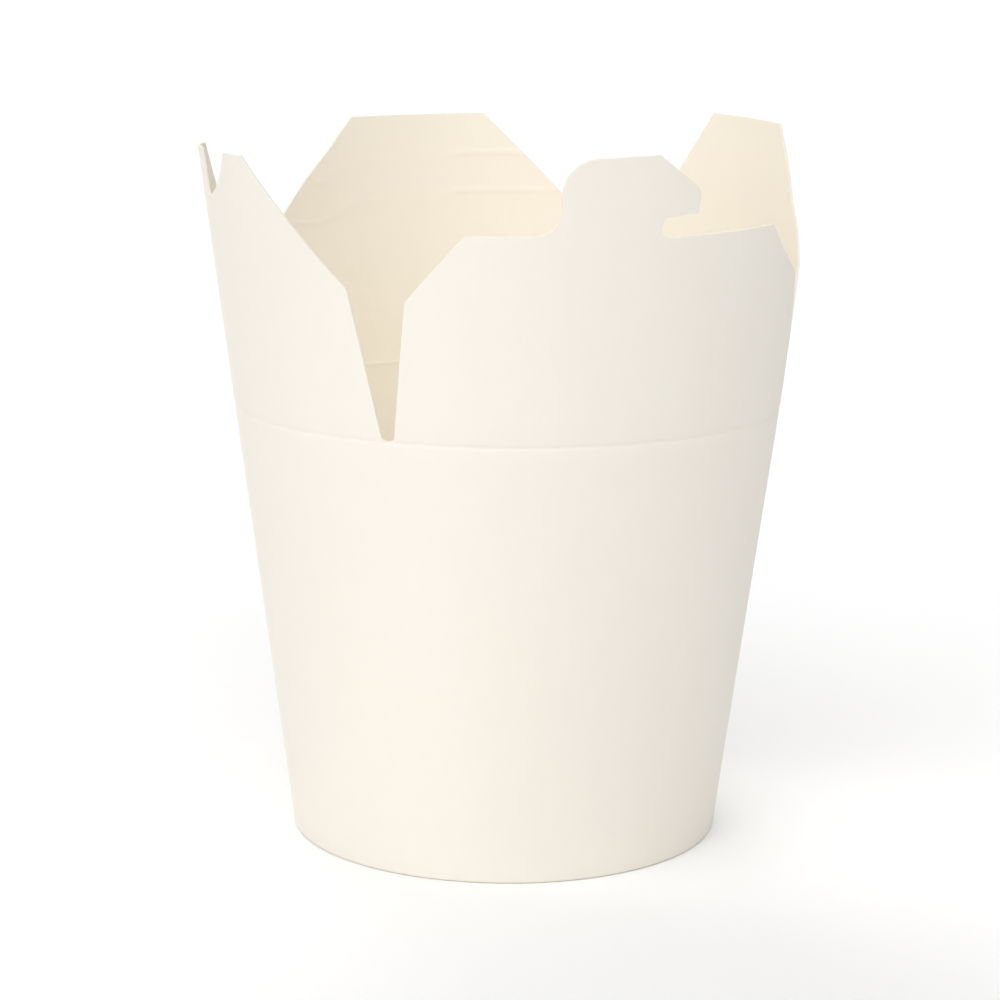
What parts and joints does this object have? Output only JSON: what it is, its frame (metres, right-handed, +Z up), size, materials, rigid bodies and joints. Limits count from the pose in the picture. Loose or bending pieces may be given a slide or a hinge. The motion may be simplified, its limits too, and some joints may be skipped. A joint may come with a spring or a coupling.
{
  "type": "noodle takeaway box",
  "caption": "Open round paperboard noodle box: tapered wall on a recessed bottom, with standing flaps above a score line and a hooked closing tab.",
  "frame": {"origin": "centre of the foot ring, on the plane that the box stands on", "axes": "+Z up along the box's axis, -Y towards the closing tab, +X to the right as seen from the tab's side"},
  "size_m": [0.1281, 0.1286, 0.1484],
  "materials": {
    "white_board": "matte",
    "cream_board": "matte"
  },
  "bodies": {
    "root": {"wall": "white_board", "bottom": "cream_board"}
  },
  "joints": []
}
